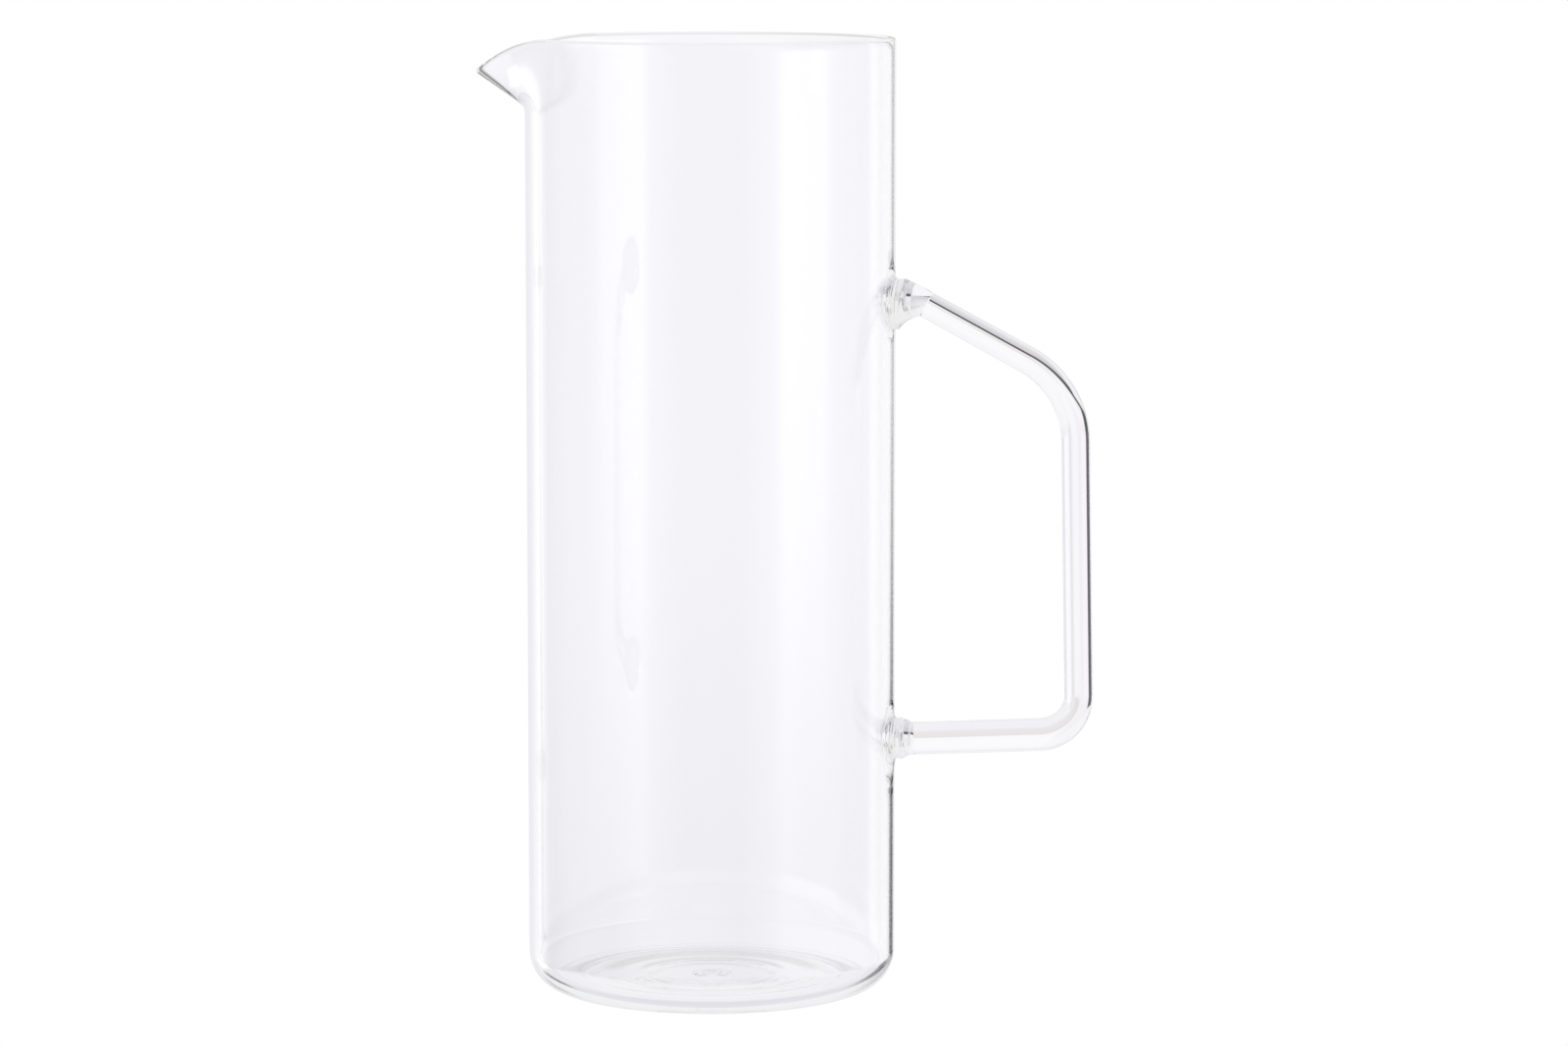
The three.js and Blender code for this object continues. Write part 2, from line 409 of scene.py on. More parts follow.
def thickness_tint():
    """Tint of the glass, from clear to the green of thick glass, with a faint cloudiness."""
    name = "Glass Tint"
    group = bpy.data.node_groups.get(name)
    if group:
        return group
    group, given, result = new_group(
        name, "ShaderNodeTree",
        (
            ("Clear", "Color", (1.0, 1.0, 1.0, 1.0)),
            ("Thick", "Color", (0.9, 0.9, 0.8, 1.0)),
            ("Cloud Scale", "Float", 40.0),
        ),
        (("Colour", "Color"), ("Roughness", "Float")))
    thick = add_node(group, "ShaderNodeAttribute")
    thick.attribute_name = "thick"
    place = add_node(group, "ShaderNodeTexCoord")
    cloud = add_node(group, "ShaderNodeTexNoise", {
        "Vector": place.outputs["Object"],
        "Scale": given.outputs["Cloud Scale"],
        "Detail": 2.0,
    })
    uneven = add_node(group, "ShaderNodeMapRange", {
        "Value": cloud.outputs["Fac"],
        "To Min": 0.75,
        "To Max": 1.0,
    })
    depth = add_node(group, "ShaderNodeMath", {0: thick.outputs["Fac"], 1: uneven.outputs["Result"]})
    depth.operation = "MULTIPLY"
    depth.use_clamp = True
    polish = add_node(group, "ShaderNodeMapRange", {
        "Value": cloud.outputs["Fac"],
        "From Min": 0.4,
        "From Max": 0.7,
        "To Max": 0.003,
    })
    feed(group, result, {
        "Colour": mix_node(group, depth.outputs["Value"], given.outputs["Clear"], given.outputs["Thick"]),
        "Roughness": polish.outputs["Result"],
    })
    return group


def glass_material(name, cloud_scale, waves_per_metre, stretch, wave_height):
    """Clear glass with the tint of its thickness and the slow waves of drawn glass.

    Light that is still caught in the glass after many bounces leaves it straight.
    """
    material = bpy.data.materials.get(name)
    if material:
        return material
    colours = bpy.context.scene.pitcher_colours
    material = bpy.data.materials.new(name)
    material.use_nodes = True
    tree = material.node_tree
    tint = add_node(tree, "ShaderNodeGroup")
    tint.node_tree = thickness_tint()
    feed(tree, tint, {
        "Clear": (*colours.clear, 1.0),
        "Thick": (*colours.thick, 1.0),
        "Cloud Scale": cloud_scale,
    })
    waves = add_node(tree, "ShaderNodeGroup")
    waves.node_tree = drawn_waves()
    feed(tree, waves, {"Waves per Metre": waves_per_metre, "Stretch": stretch})
    bump = add_node(tree, "ShaderNodeBump", {
        "Height": waves.outputs["Height"],
        "Strength": 1.0,
        "Distance": wave_height,
    })
    glass = tree.nodes["Principled BSDF"]
    feed(tree, glass, {
        "Base Color": tint.outputs["Colour"],
        "Roughness": tint.outputs["Roughness"],
        "Normal": bump.outputs["Normal"],
        "IOR": GLASS_INDEX,
        "Transmission Weight": 1.0,
    })
    path = add_node(tree, "ShaderNodeLightPath")
    leaving = add_node(tree, "ShaderNodeBsdfTransparent")
    surface = add_node(tree, "ShaderNodeMixShader", {
        "Fac": math_node(tree, "GREATER_THAN", path.outputs["Ray Depth"], TRAPPED_BOUNCES),
        1: glass.outputs["BSDF"],
        2: leaving.outputs["BSDF"],
    })
    feed(tree, tree.nodes["Material Output"], {"Surface": surface.outputs["Shader"]})
    return material


def clear_glass():
    """Glass of the tube, the rim and the rod: long, low waves."""
    return glass_material(
        "drawn_clear_glass", cloud_scale=40.0, waves_per_metre=30.0, stretch=0.1, wave_height=0.00002)


def still_glass():
    """Glass of the base, hardly wavy."""
    return glass_material(
        "still_clear_glass", cloud_scale=60.0, waves_per_metre=60.0, stretch=0.6, wave_height=0.000004)


def thick_glass():
    """Glass of the spout, the welds and the melt mark: short waves."""
    return glass_material(
        "drawn_thick_glass", cloud_scale=120.0, waves_per_metre=90.0, stretch=0.6, wave_height=0.00003)


def bare_material(name, shader_kind, inputs=None):
    """A material of one shader only."""
    material = bpy.data.materials.new(name)
    material.use_nodes = True
    tree = material.node_tree
    tree.nodes.remove(tree.nodes["Principled BSDF"])
    shader = add_node(tree, shader_kind, inputs)
    feed(tree, tree.nodes["Material Output"], {"Surface": shader.outputs[0]})
    return material


def melted_joint():
    """Faces inside the glass, where two pieces are melted into one: nothing to see."""
    name = "melted_joint"
    return bpy.data.materials.get(name) or bare_material(name, "ShaderNodeBsdfTransparent")


# Geometry Nodes trees

def finish_tree(tree, given, result, swept, at_joint=False):
    """Ends a tree: glass on all faces, then the joint material on ends and on marked faces."""
    merge = add_node(tree, "GeometryNodeMergeByDistance", {"Geometry": swept, "Distance": GROWN_GAP})
    realize = add_node(tree, "GeometryNodeRealizeInstances", {"Geometry": merge.outputs["Geometry"]})
    glass = add_node(tree, "GeometryNodeSetMaterial", {
        "Geometry": realize.outputs["Geometry"],
        "Material": given.outputs["Glass"],
    })
    corners = add_node(tree, "GeometryNodeInputMeshFaceNeighbors")
    either = add_node(tree, "FunctionNodeBooleanMath", {
        0: more_than(tree, corners.outputs["Vertex Count"], SIDE_CORNERS),
        1: at_joint,
    })
    either.operation = "OR"
    joint = add_node(tree, "GeometryNodeSetMaterial", {
        "Geometry": glass.outputs["Geometry"],
        "Selection": either.outputs["Boolean"],
        "Material": given.outputs["Joint"],
    })
    feed(tree, result, {"Geometry": joint.outputs["Geometry"]})


def turned_tree():
    """Turns a section about the upright axis. Section points marked joint lie on melted faces."""
    name = "Turned Glass"
    tree = bpy.data.node_groups.get(name)
    if tree:
        return tree
    tree, given, result = new_group(
        name, "GeometryNodeTree",
        (
            ("Geometry", "Geometry"),
            ("Start", "Float"),
            ("Sweep", "Float"),
            ("Steps", "Int"),
            ("Close Ends", "Bool"),
            ("Glass", "Material"),
            ("Joint", "Material"),
        ),
        (("Geometry", "Geometry"),))
    section = add_node(tree, "GeometryNodeMeshToCurve", {"Mesh": given.outputs["Geometry"]})
    place = add_node(tree, "GeometryNodeInputPosition")
    profile = stored_attribute(
        tree, section.outputs["Curve"], "spot", "FLOAT_VECTOR", place.outputs["Position"])
    line = add_node(tree, "GeometryNodeCurvePrimitiveLine")
    path = add_node(tree, "GeometryNodeResampleCurve", {
        "Curve": line.outputs["Curve"],
        "Count": given.outputs["Steps"],
    })
    along = add_node(tree, "GeometryNodeSplineParameter")
    turn = math_node(
        tree, "MULTIPLY_ADD", along.outputs["Factor"], given.outputs["Sweep"], given.outputs["Start"])
    sweep = add_node(tree, "GeometryNodeCurveToMesh", {
        "Curve": stored_attribute(tree, path.outputs["Curve"], "turn", "FLOAT", turn),
        "Profile Curve": profile,
        "Fill Caps": given.outputs["Close Ends"],
    })
    spot = add_node(tree, "ShaderNodeSeparateXYZ", {
        "Vector": named_attribute(tree, "spot", "FLOAT_VECTOR"),
    })
    angle = named_attribute(tree, "turn", "FLOAT")
    turned = add_node(tree, "ShaderNodeCombineXYZ", {
        "X": math_node(tree, "MULTIPLY", spot.outputs["X"], math_node(tree, "COSINE", angle)),
        "Y": math_node(tree, "MULTIPLY", spot.outputs["X"], math_node(tree, "SINE", angle)),
        "Z": spot.outputs["Y"],
    })
    move = add_node(tree, "GeometryNodeSetPosition", {
        "Geometry": sweep.outputs["Mesh"],
        "Position": turned.outputs["Vector"],
    })
    at_joint = more_than(tree, named_attribute(tree, "joint", "FLOAT"), JOINT_MARK)
    finish_tree(tree, given, result, move.outputs["Geometry"], at_joint)
    return tree


def rod_tree():
    """Bends a rod along a line of corners and changes its width at the bends."""
    name = "Bent Rod"
    tree = bpy.data.node_groups.get(name)
    if tree:
        return tree
    tree, given, result = new_group(
        name, "GeometryNodeTree",
        (
            ("Geometry", "Geometry"),
            ("Upper Arm Radius", "Float"),
            ("Grip Radius", "Float"),
            ("Lower Arm Radius", "Float"),
            ("Grip Starts", "Float"),
            ("Grip Ends", "Float"),
            ("Lower Arm Starts", "Float"),
            ("Sides", "Int"),
            ("Bend Steps", "Int"),
            ("Glass", "Material"),
            ("Joint", "Material"),
        ),
        (("Geometry", "Geometry"),))
    line = add_node(tree, "GeometryNodeMeshToCurve", {"Mesh": given.outputs["Geometry"]})
    bend = tree.nodes.new("GeometryNodeFilletCurve")
    bend.mode = "POLY"
    feed(tree, bend, {
        "Curve": line.outputs["Curve"],
        "Count": given.outputs["Bend Steps"],
        "Radius": named_attribute(tree, "bend_radius", "FLOAT"),
        "Limit Radius": True,
    })
    along = add_node(tree, "GeometryNodeSplineParameter").outputs["Factor"]
    grip = given.outputs["Grip Radius"]
    upper = rise_node(
        tree, along, 0.0, given.outputs["Grip Starts"], given.outputs["Upper Arm Radius"], grip)
    wider = math_node(tree, "SUBTRACT", given.outputs["Lower Arm Radius"], grip)
    lower = rise_node(
        tree, along, given.outputs["Grip Ends"], given.outputs["Lower Arm Starts"], 0.0, wider)
    circle = add_node(tree, "GeometryNodeCurvePrimitiveCircle", {
        "Resolution": given.outputs["Sides"],
        "Radius": 1.0,
    })
    sweep = add_node(tree, "GeometryNodeCurveToMesh", {
        "Curve": bend.outputs["Curve"],
        "Profile Curve": circle.outputs["Curve"],
        "Scale": math_node(tree, "ADD", upper, lower),
        "Fill Caps": True,
    })
    finish_tree(tree, given, result, sweep.outputs["Mesh"])
    return tree


def line_mesh(name, points, closed, attribute, values):
    """A line of points with one number stored on each of them."""
    count = len(points)
    edges = [(i, (i + 1) % count) for i in range(count if closed else count - 1)]
    mesh = bpy.data.meshes.new(name)
    mesh.from_pydata(points, edges, [])
    stored = mesh.attributes.new(attribute, "FLOAT", "POINT")
    stored.data.foreach_set("value", values)
    return mesh


def grown_mesh(name, line, tree, settings):
    """Runs a geometry tree on a line and returns the plain mesh that comes of it."""
    holder = bpy.data.objects.new(name, line)
    bpy.context.scene.collection.objects.link(holder)
    modifier = holder.modifiers.new(tree.name, "NODES")
    modifier.node_group = tree
    for item in tree.interface.items_tree:
        if item.in_out == "INPUT" and item.name in settings:
            modifier[item.identifier] = settings[item.name]
    evaluated = holder.evaluated_get(bpy.context.evaluated_depsgraph_get())
    mesh = bpy.data.meshes.new_from_object(evaluated)
    bpy.data.objects.remove(holder)
    bpy.data.meshes.remove(line)
    return mesh


def turned_mesh(name, section, joints, finish, sweep=2 * pi, closed=False):
    """Turns a section of radius and height about the axis, centred on the handle's side."""
    points = [(radius, height, 0.0) for radius, height in section]
    line = line_mesh(name, points, closed, "joint", joints)
    return grown_mesh(name, line, turned_tree(), {
        "Start": -sweep / 2,
        "Sweep": sweep,
        "Steps": TURN_STEPS,
        "Close Ends": closed,
        "Glass": finish,
        "Joint": melted_joint(),
    })


# Vessel

def spout_half_turn(sizes):
    """Half the angle that the spout takes of the tube's round."""
    return asin(sizes.spout_width / sizes.tube_diameter)


def spout_sides():
    """Places across the spout from -1 to 1, closest at the beak and at both sides."""
    shares = [2 * i / SPOUT_COLUMNS - 1 for i in range(SPOUT_COLUMNS + 1)]
    return [(1 if share > 0 else -1) * (1 - cos(pi * share)) / 2 for share in shares]


def around(radius, angle, height):
    """A point at a radius and an angle about the upright axis."""
    return Vector((radius * cos(angle), radius * sin(angle), height))


@dataclass
class Weld:
    """One weld of the handle: where it sits on the tube and how it runs out into the rod.

    The neck and the collar are each a lift above the tube and a radius. A drip makes the foot
    longer upwards, or downwards if it is negative.
    """

    seat: Vector
    outward: Vector
    foot: float
    drip: float
    neck: tuple
    collar: tuple
    rod: float

    def foot_radius(self, angle):
        """Radius of the foot on the tube, longer towards its drip."""
        side = sin(angle) * (1 if self.drip > 0 else -1)
        return self.foot + abs(self.drip) * max(side, 0.0) ** 3


def ring_angles():
    """Angles round a weld, from the lower left corner of its window."""
    return [2 * pi * i / WELD_POINTS - 3 * pi / 4 for i in range(WELD_POINTS)]


def on_tube(sizes, seat, across, up, lift=0.0):
    """A point on or above the tube's outside, beside the seat of a weld."""
    radius = sizes.tube_diameter / 2
    return around(radius + lift, across / radius, seat.z + up)


def handle_corners(sizes):
    """Ends and corners of the rod's centre line, from the upper weld to the lower one."""
    radius = sizes.tube_diameter / 2
    return [
        Vector((radius + sizes.upper_weld_length, 0.0, sizes.upper_weld_height)),
        Vector((radius + sizes.grip_top_reach, 0.0, sizes.grip_top_height)),
        Vector((radius + sizes.grip_bottom_reach, 0.0, sizes.grip_bottom_height)),
        Vector((radius + sizes.lower_weld_length, 0.0, sizes.lower_weld_height)),
    ]


def handle_welds(sizes):
    """The upper and the lower weld."""
    start, top, bottom, end = handle_corners(sizes)
    upper = Weld(
        seat=start, outward=(top - start).normalized(), foot=0.0078, drip=0.0016,
        neck=(0.0012, 0.0064), collar=(0.0022, 0.0066), rod=sizes.upper_arm_diameter / 2)
    lower = Weld(
        seat=end, outward=(bottom - end).normalized(), foot=0.008, drip=-0.005,
        neck=(0.0012, 0.0052), collar=(0.0024, 0.0054), rod=sizes.lower_arm_diameter / 2)
    return upper, lower


def wall_rows(sizes, welds):
    """Heights of the wall's rows, with even rows in the window round each weld.

    Returns them with the first row of each window and the row where the spout starts.
    """
    half = window_half(sizes)
    marks = [sizes.heel_radius]
    for weld in reversed(welds):
        marks += [weld.seat.z - half, weld.seat.z + half]
    marks += [sizes.height - sizes.spout_depth, sizes.height - sizes.rim_height]
    rows = [marks[0]]
    for low, high, count in zip(marks, marks[1:], WALL_ROWS):
        rows += [low + (high - low) * (i + 1) / count for i in range(count)]
    starts = [WALL_ROWS[0], sum(WALL_ROWS[:3])]
    return rows, starts, sum(WALL_ROWS[:5])


def column_step(sizes):
    """Angle between two columns of the plain wall."""
    return 2 * (pi - spout_half_turn(sizes)) / WALL_COLUMNS


def window_half(sizes):
    """Half the width of the window round a weld, along the tube's outside."""
    return WINDOW_COLUMNS / 2 * column_step(sizes) * sizes.tube_diameter / 2


def inner_bulge(sizes, welds, angle, height):
    """How far the heat of the welds has pushed the inside of the wall in."""
    across = sizes.tube_diameter / 2 * atan2(sin(angle), cos(angle))
    bulge = 0.0
    for weld in welds:
        distance = sqrt(across ** 2 + (height - weld.seat.z) ** 2)
        bulge += BULGE_HEIGHT * (1 - smooth_step((distance - BULGE_RADIUS) / BULGE_SLOPE))
    return bulge


def wall_mesh(sizes, finish):
    """Tube without base, rim and spout. Each weld's foot is a round patch of joint faces in it."""
    shape = PieceMesh()
    outer_radius = sizes.tube_diameter / 2
    inner_radius = outer_radius - sizes.wall_thickness
    welds = handle_welds(sizes)
    rows, window_rows, spout_row = wall_rows(sizes, welds)
    last = len(rows) - 1
    half_turn = spout_half_turn(sizes)
    step = column_step(sizes)
    angles = [step * (i - WALL_COLUMNS / 2) for i in range(WALL_COLUMNS + 1)]
    angles += [pi + half_turn * side for side in spout_sides()[1:-1]]
    outer = [shape.add_points([around(outer_radius, angle, z) for z in rows]) for angle in angles]
    inner = [
        shape.add_points([
            around(inner_radius - inner_bulge(sizes, welds, angle, z), angle, z) for z in rows])
        for angle in angles
    ]
    middle = WALL_COLUMNS // 2
    first_column = middle - WINDOW_COLUMNS // 2
    last_column = middle + WINDOW_COLUMNS // 2
    for column in range(len(angles)):
        following = (column + 1) % len(angles)
        out, next_out = outer[column], outer[following]
        within, next_within = inner[column], inner[following]
        top = spout_row if column >= WALL_COLUMNS else last
        for row in range(top):
            in_window = first_column <= column < last_column and any(
                start <= row < start + WINDOW_COLUMNS for start in window_rows)
            if not in_window:
                shape.add_face((out[row], next_out[row], next_out[row + 1], out[row + 1]))
            shape.add_face((next_within[row], within[row], within[row + 1], next_within[row + 1]))
        shape.add_face((out[0], within[0], next_within[0], next_out[0]), JOINT)
        shape.add_face((out[top], next_out[top], next_within[top], within[top]), JOINT)
    for column in (0, WALL_COLUMNS):
        out, within = outer[column], inner[column]
        for row in range(spout_row, last):
            shape.add_face((out[row], within[row], within[row + 1], out[row + 1]), JOINT)
    for weld, start in zip(reversed(welds), window_rows):
        end = start + WINDOW_COLUMNS
        columns = range(first_column, last_column)
        rows_up = range(start, end)
        loop = [outer[column][start] for column in columns]
        loop += [outer[last_column][row] for row in rows_up]
        loop += [outer[column + 1][end] for column in reversed(columns)]
        loop += [outer[first_column][row + 1] for row in reversed(rows_up)]
        add_weld_patch(shape, sizes, weld, loop)
    return shape.to_mesh("wall_glass", finish)


def add_weld_patch(shape, sizes, weld, loop):
    """Fills a square window in the wall with rings that run in to the foot of a weld."""
    radius = sizes.tube_diameter / 2
    places = []
    for number in loop:
        point = shape.points[number]
        places.append((radius * atan2(point.y, point.x), point.z - weld.seat.z))
    ring = loop
    for i in range(1, PATCH_STEPS + 1):
        share = i / PATCH_STEPS
        points = []
        for (across, up), angle in zip(places, ring_angles()):
            reach = weld.foot_radius(angle)
            points.append(on_tube(
                sizes, weld.seat,
                across + (reach * cos(angle) - across) * share,
                up + (reach * sin(angle) - up) * share))
        inward = shape.add_points(points)
        shape.add_strip(ring, inward)
        ring = inward
    add_foot_disc(shape, sizes, weld, ring)


def add_foot_disc(shape, sizes, weld, ring):
    """Joint faces between the wall and the foot of a weld, inside the foot's ring."""
    for share in FOOT_RINGS:
        points = []
        for angle in ring_angles():
            reach = share * weld.foot_radius(angle)
            points.append(on_tube(sizes, weld.seat, reach * cos(angle), reach * sin(angle)))
        inward = shape.add_points(points)
        shape.add_strip(ring, inward, JOINT)
        ring = inward
    centre = shape.add_points([on_tube(sizes, weld.seat, 0.0, 0.0)])[0]
    shape.add_fan(ring, centre, JOINT)


def weld_profile(weld, reach):
    """Rings of a weld from the wall out: lift, radius, spread over the wall, share of the cone."""
    neck_lift, neck_radius = weld.neck
    collar_lift, collar_radius = weld.collar
    profile = []
    for i in range(FOOT_STEPS + 1):
        turn = pi / 2 * i / FOOT_STEPS
        profile.append((neck_lift * (1 - cos(turn)), neck_radius, 1 - sin(turn), 0.0))
    for i in range(1, NECK_STEPS + 1):
        share = i / NECK_STEPS
        radius = neck_radius + (collar_radius - neck_radius) * smooth_step(share)
        profile.append((neck_lift + (collar_lift - neck_lift) * share, radius, 0.0, 0.0))
    for i in range(1, CONE_STEPS + 1):
        share = i / CONE_STEPS
        profile.append((collar_lift + (reach - collar_lift) * share, collar_radius, 0.0, share))
    return profile


def weld_mesh(sizes, weld, name, finish):
    """Bead of glass from its foot on the tube, over a neck and a collar, to the rod's end."""
    shape = PieceMesh()
    reach = weld.seat.x - sizes.tube_diameter / 2
    level = Vector((1.0, 0.0, 0.0))
    across = Vector((0.0, 1.0, 0.0))
    start = weld.seat - level * reach
    rings = []
    for lift, radius, spread, flare in weld_profile(weld, reach):
        share = lift / reach
        centre = start.lerp(weld.seat, share)
        direction = level.lerp(weld.outward, share).normalized()
        upright = Vector((-direction.z, 0.0, direction.x))
        clear_of_tube = smooth_step(lift / CLEAR_LIFT)
        ring = []
        for angle in ring_angles():
            hollow = 1.0 + HOLLOW_BELOW * max(-sin(angle), 0.0)
            width = weld.rod + (radius - weld.rod) * (1 - flare) ** hollow
            width += (weld.foot_radius(angle) - radius) * spread
            on_wall = on_tube(sizes, weld.seat, width * cos(angle), width * sin(angle), lift)
            on_rod = centre + across * width * cos(angle) + upright * width * sin(angle)
            ring.append(on_wall.lerp(on_rod, clear_of_tube))
        rings.append(shape.add_points(ring, WELD_TINT - WELD_TINT_LOSS * share))
    for first, second in zip(rings, rings[1:]):
        shape.add_strip(first, second)
    add_foot_disc(shape, sizes, weld, rings[0])
    shape.add_face(rings[-1], JOINT)
    return shape.to_mesh(name, finish)


def arc(centre, size, start, end, steps):
    """Section points on an arc, with angles in degrees, both ends included."""
    points = []
    for i in range(steps + 1):
        angle = radians(start + (end - start) * i / steps)
        points.append((centre[0] + size * cos(angle), centre[1] + size * sin(angle)))
    return points


def base_mesh(sizes, finish):
    """Flat base with a round heel, and shallow turning rings on its floor."""
    outer_radius = sizes.tube_diameter / 2
    inner_radius = outer_radius - sizes.wall_thickness
    heel = sizes.heel_radius
    inner_heel = heel - sizes.floor_thickness
    pip_radius = sizes.pip_diameter / 2
    section = [(0.0, 0.0)]
    section += arc((outer_radius - heel, heel), heel, -90, 0, HEEL_STEPS)[:-1]
    section += [(outer_radius, heel - HEEL_LANDING), (outer_radius, heel)]
    section += [(inner_radius, heel), (inner_radius, heel - HEEL_LANDING)]
    section += arc((inner_radius - inner_heel, heel), inner_heel, 0, -90, HEEL_STEPS)[1:]
    floor_edge = inner_radius - inner_heel
    for i in range(1, FLOOR_STEPS):
        radius = floor_edge + (pip_radius - floor_edge) * i / FLOOR_STEPS
        ripple = 0.0
        for ring, share, spread in FLOOR_RINGS:
            ripple += sizes.floor_ripple * share * exp(-((radius - ring) / spread) ** 2)
        section.append((radius, sizes.floor_thickness + ripple))
    section += [(pip_radius, sizes.floor_thickness), (0.0, sizes.floor_thickness)]
    joints = [0.0] * len(section)
    seam = section.index((outer_radius, heel))
    joints[seam] = joints[seam + 1] = 1.0
    joints[-1] = joints[-2] = 1.0
    return turned_mesh("base_glass", section, joints, finish)


def pip_mesh(sizes, finish):
    """Melt mark in the middle of the floor: a low ring with a dimple in it."""
    radius = sizes.pip_diameter / 2
    crest = radius * PIP_CREST
    floor = sizes.floor_thickness
    section = [(0.0, floor), (radius, floor)]
    for i in range(1, PIP_STEPS + 1):
        share = i / PIP_STEPS
        lift = sizes.pip_height * smooth_step(share)
        section.append((radius + (crest - radius) * share, floor + lift))
    for i in range(1, PIP_STEPS + 1):
        share = i / PIP_STEPS
        lift = sizes.pip_height * (1 - PIP_DIMPLE * smooth_step(share))
        section.append((crest * (1 - share), floor + lift))
    joints = [1.0, 1.0] + [0.0] * (len(section) - 2)
    return turned_mesh("pip_glass", section, joints, finish)


def rim_mesh(sizes, finish):
    """Fire-polished rim with a half-round top, open where the spout is drawn out."""
    outer_radius = sizes.tube_diameter / 2
    half = sizes.wall_thickness / 2
    bottom = sizes.height - sizes.rim_height
    section = [(outer_radius - 2 * half, bottom), (outer_radius, bottom)]
    section += arc((outer_radius - half, sizes.height - half), half, 0, 180, LIP_STEPS)
    joints = [1.0, 1.0] + [0.0] * (len(section) - 2)
    sweep = 2 * (pi - spout_half_turn(sizes))
    return turned_mesh("rim_glass", section, joints, finish, sweep, True)


def draw_out(side, taper):
    """Share that is left of a spout size at a place across it, all of it at the rounded beak."""
    distance = abs(side)
    if distance < BEAK_HALF:
        distance = (side ** 2 / BEAK_HALF + BEAK_HALF) / 2
    return ((1 - distance) / (1 - BEAK_HALF / 2)) ** taper


def spout_flare(rise):
    """Share of the spout's reach at a share of its height: along the wall, a bend, then straight out."""
    start = sqrt(FLARE_BEND ** 2 + FLARE_SOFTNESS ** 2)

    def away(share):
        return sqrt((share - FLARE_BEND) ** 2 + FLARE_SOFTNESS ** 2) - start + share * FLARE_BEND / start

    return away(max(rise, 0.0)) / away(1.0)


def spout_outside(sizes, side, rise):
    """A point on the outside of the spout."""
    angle = spout_half_turn(sizes) * side
    radius = sizes.tube_diameter / 2
    low = sizes.height - sizes.spout_depth
    drop = sizes.spout_drop * draw_out(side, DROP_TAPER)
    lip = sizes.height - sizes.wall_thickness / 2 - drop
    reach = radius * cos(angle) + sizes.spout_reach * draw_out(side, REACH_TAPER) * spout_flare(rise)
    return Vector((-reach, -radius * sin(angle), low + (lip - low) * rise))


def spout_directions(sizes, side, rise):
    """Directions straight out of the spout's outside and up along it."""
    small = 0.0005
    across = spout_outside(sizes, side + small, rise) - spout_outside(sizes, side - small, rise)
    up = spout_outside(sizes, side, rise + small) - spout_outside(sizes, side, rise - small)
    return across.cross(up).normalized(), up.normalized()


def spout_section(shape, sizes, side):
    """Adds the points of one section through the spout: up the outside, over the lip, down the inside."""
    thickness = sizes.wall_thickness
    inside_tint = 1 - smooth_step((abs(side) - INSIDE_TINT) / INSIDE_TINT_EDGE)
    within_sides = min(abs(side), 0.999) * (1 if side > 0 else -1)
    section = []
    inside = []
    for i in range(SPOUT_ROWS + 1):
        rise = (i / SPOUT_ROWS) ** ROW_CROWDING
        beak = smooth_step((rise - TINT_START) / TINT_RISE)
        outside_tint = 1 - smooth_step((abs(side) - OUTSIDE_TINT * beak) / OUTSIDE_TINT_EDGE)
        point = spout_outside(sizes, side, rise)
        outward, up = spout_directions(sizes, within_sides, rise)
        opposite = point - outward * thickness
        if abs(opposite.y) < abs(point.y) * LEAST_SPREAD or opposite.y * point.y < 0:
            opposite.y = point.y * LEAST_SPREAD
        section += shape.add_points([point], outside_tint * beak)
        inside.append((opposite, inside_tint * beak))
    crest = (point + opposite) / 2
    half = (point - opposite) / 2
    lip = []
    for i in range(1, LIP_STEPS):
        turn = pi * i / LIP_STEPS
        lip.append(crest + half * cos(turn) + up * thickness / 2 * sin(turn))
    section += shape.add_points(lip, max(inside_tint, LIP_TINT))
    for opposite, tint in reversed(inside):
        section += shape.add_points([opposite], tint)
    return section


def spout_mesh(sizes, finish):
    """Drawn spout: a sheet of glass with a round lip that runs out into the beak."""
    shape = PieceMesh()
    sections = [spout_section(shape, sizes, side) for side in spout_sides()]
    for first, second in zip(sections, sections[1:]):
        shape.add_strip(first, second, GLASS, False)
        shape.add_face((first[0], first[-1], second[-1], second[0]), JOINT)
    shape.add_face(sections[0], JOINT)
    shape.add_face(sections[-1], JOINT)
    return shape.to_mesh("spout_glass", finish)


def rod_mesh(sizes, finish):
    """Bent solid rod of the handle."""
    corners = handle_corners(sizes)
    bends = (sizes.upper_bend, sizes.lower_bend)
    arcs = []
    trims = []
    for before, corner, after, bend in zip(corners, corners[1:], corners[2:], bends):
        turn = (corner - before).angle(after - corner)
        arcs.append(bend * turn)
        trims.append(bend * tan(turn / 2))
    upper = (corners[1] - corners[0]).length - trims[0]
    grip = (corners[2] - corners[1]).length - trims[0] - trims[1]
    lower = (corners[3] - corners[2]).length - trims[1]
    whole = upper + arcs[0] + grip + arcs[1] + lower
    line = line_mesh("rod_line", corners, False, "bend_radius", (0.0, *bends, 0.0))
    return grown_mesh("rod_glass", line, rod_tree(), {
        "Upper Arm Radius": sizes.upper_arm_diameter / 2,
        "Grip Radius": sizes.grip_diameter / 2,
        "Lower Arm Radius": sizes.lower_arm_diameter / 2,
        "Grip Starts": (upper + arcs[0]) / whole,
        "Grip Ends": (upper + arcs[0] + grip) / whole,
        "Lower Arm Starts": (upper + arcs[0] + grip + arcs[1]) / whole,
        "Sides": WELD_POINTS,
        "Bend Steps": BEND_STEPS,
        "Glass": finish,
        "Joint": melted_joint(),
    })


# Operators

